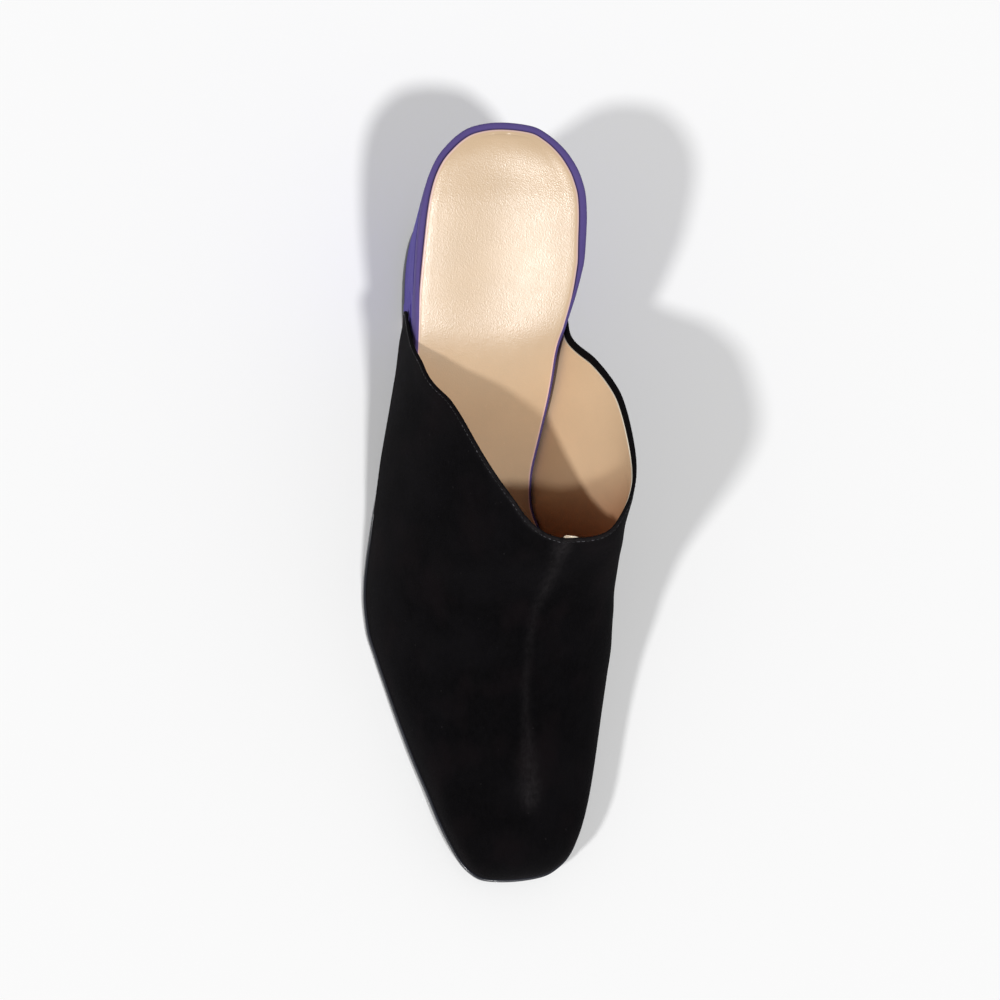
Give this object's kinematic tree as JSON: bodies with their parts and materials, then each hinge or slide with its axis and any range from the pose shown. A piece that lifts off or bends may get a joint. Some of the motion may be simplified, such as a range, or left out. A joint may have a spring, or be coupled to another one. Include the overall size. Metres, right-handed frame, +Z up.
{
  "type": "mule shoe",
  "caption": "Closed-toe, open-back mule with a high-cut suede vamp on a tall block heel that slips on over the instep.",
  "frame": {"origin": "on the floor, under the middle of the bounding box", "axes": "+X runs to the toe, +Y to the inner (medial) side of the right foot, +Z is up"},
  "size_m": [0.2434, 0.0824, 0.0869],
  "materials": {
    "outsole": "gloss",
    "insole": "suede",
    "sock": "satin",
    "upper": "suede",
    "heel": "suede",
    "top_piece": "satin"
  },
  "bodies": {
    "root": {"outsole": "outsole", "insole": "insole", "sock": "sock", "upper": "upper", "heel": "heel", "top_piece": "top_piece"}
  },
  "joints": []
}
